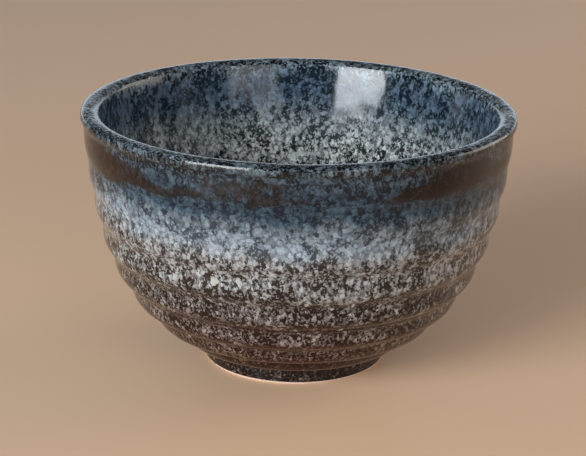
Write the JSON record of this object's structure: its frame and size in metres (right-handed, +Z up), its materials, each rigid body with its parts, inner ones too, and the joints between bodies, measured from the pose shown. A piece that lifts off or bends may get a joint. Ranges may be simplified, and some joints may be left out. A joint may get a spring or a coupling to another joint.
{
  "type": "matcha bowl",
  "caption": "Footed tea bowl of thrown stoneware with a rounded lip, ringed wall and mottled glaze, held in both hands to whisk and drink powdered tea.",
  "frame": {"origin": "centre of the plane that the foot rests on", "axes": "+Z up, along the bowl's axis of turning; +X to the right and -Y towards a person who faces the bowl"},
  "size_m": [0.12, 0.12, 0.0725],
  "materials": {
    "clay": "fired stoneware clay under the glaze, matt",
    "bare_clay": "bare buff stoneware, matt, finely gritty",
    "speckled_glaze": "gloss glaze, pale flecks and curdled cream over brown-black, pale blue under the rim",
    "rim_glaze": "gloss slate blue and black glaze, mottled, with rust brown patches",
    "inner_glaze": "gloss glaze, pale flecks over brown-black, slate blue towards the rim",
    "well_glaze": "gloss brown-black glaze with a few pale flecks"
  },
  "bodies": {
    "root": {"clay_body": "clay", "foot_ring": "bare_clay", "outer_glaze": "speckled_glaze", "rim_glaze": "rim_glaze", "inner_glaze": "inner_glaze", "foot_well_glaze": "well_glaze"}
  },
  "joints": []
}
